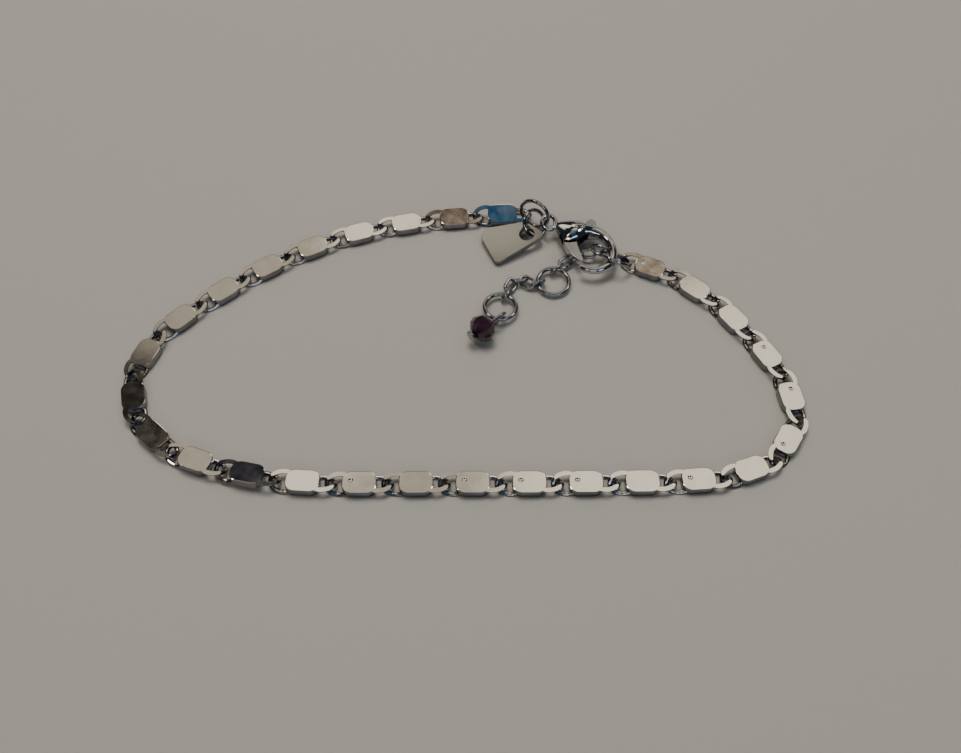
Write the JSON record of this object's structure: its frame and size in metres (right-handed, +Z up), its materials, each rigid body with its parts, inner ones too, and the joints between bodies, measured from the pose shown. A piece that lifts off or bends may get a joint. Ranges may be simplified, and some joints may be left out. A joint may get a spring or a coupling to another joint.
{
  "type": "bar link chain bracelet",
  "caption": "Bracelet of flat bar links joined by twisted wire eyes, closed by a lobster clasp on a ring, with a blank tag and a short extender that ends in a dark faceted bead.",
  "frame": {"origin": "on the surface it lies on, under the middle of the bounding box", "axes": "+X along the long front row of links, +Y away from the viewer towards the clasp, +Z up from the surface"},
  "size_m": [0.0764, 0.04, 0.0042],
  "materials": {
    "bright_plated_brass": "bright plated, diamond cut flat, polished",
    "plated_clasp_casting": "bright plated casting, polished",
    "polished_tag": "bright plated sheet, mirror polished",
    "plated_wire": "bright plated round wire",
    "dark_amethyst_glass": "dark purple glass with ground and polished facets"
  },
  "bodies": {
    "bracelet": {"bead": "dark_amethyst_glass", "bead_pin": "plated_wire", "chain_link_01": "bright_plated_brass", "chain_link_02": "bright_plated_brass", "chain_link_03": "bright_plated_brass", "chain_link_04": "bright_plated_brass", "chain_link_05": "bright_plated_brass", "chain_link_06": "bright_plated_brass", "chain_link_07": "bright_plated_brass", "chain_link_08": "bright_plated_brass", "chain_link_09": "bright_plated_brass", "chain_link_10": "bright_plated_brass", "chain_link_11": "bright_plated_brass", "chain_link_12": "bright_plated_brass", "chain_link_13": "bright_plated_brass", "chain_link_14": "bright_plated_brass", "chain_link_15": "bright_plated_brass", "chain_link_16": "bright_plated_brass", "chain_link_17": "bright_plated_brass", "chain_link_18": "bright_plated_brass", "chain_link_19": "bright_plated_brass", "chain_link_20": "bright_plated_brass", "chain_link_21": "bright_plated_brass", "chain_link_22": "bright_plated_brass", "chain_link_23": "bright_plated_brass", "chain_link_24": "bright_plated_brass", "chain_link_25": "bright_plated_brass", "chain_link_26": "bright_plated_brass", "chain_link_27": "bright_plated_brass", "chain_link_28": "bright_plated_brass", "clasp_body": "plated_clasp_casting", "clasp_ring": "plated_wire", "end_ring": "plated_wire", "extender_chain_1": "plated_wire", "extender_chain_2": "plated_wire", "extender_ring_1": "plated_wire", "extender_ring_2": "plated_wire", "tag": "polished_tag", "tag_ring": "plated_wire"},
    "lever": {"clasp_lever": "plated_clasp_casting"}
  },
  "joints": [
    {"name": "clasp_lever_pivot", "type": "hinge", "parent": "bracelet", "child": "lever", "pos_m": [0.01301, 0.01456, 0.0017], "axis": [0, 0, 1], "range_deg": [0, 20], "stiffness_Nm_per_rad": 0.002, "springref_deg": -8.59}
  ]
}
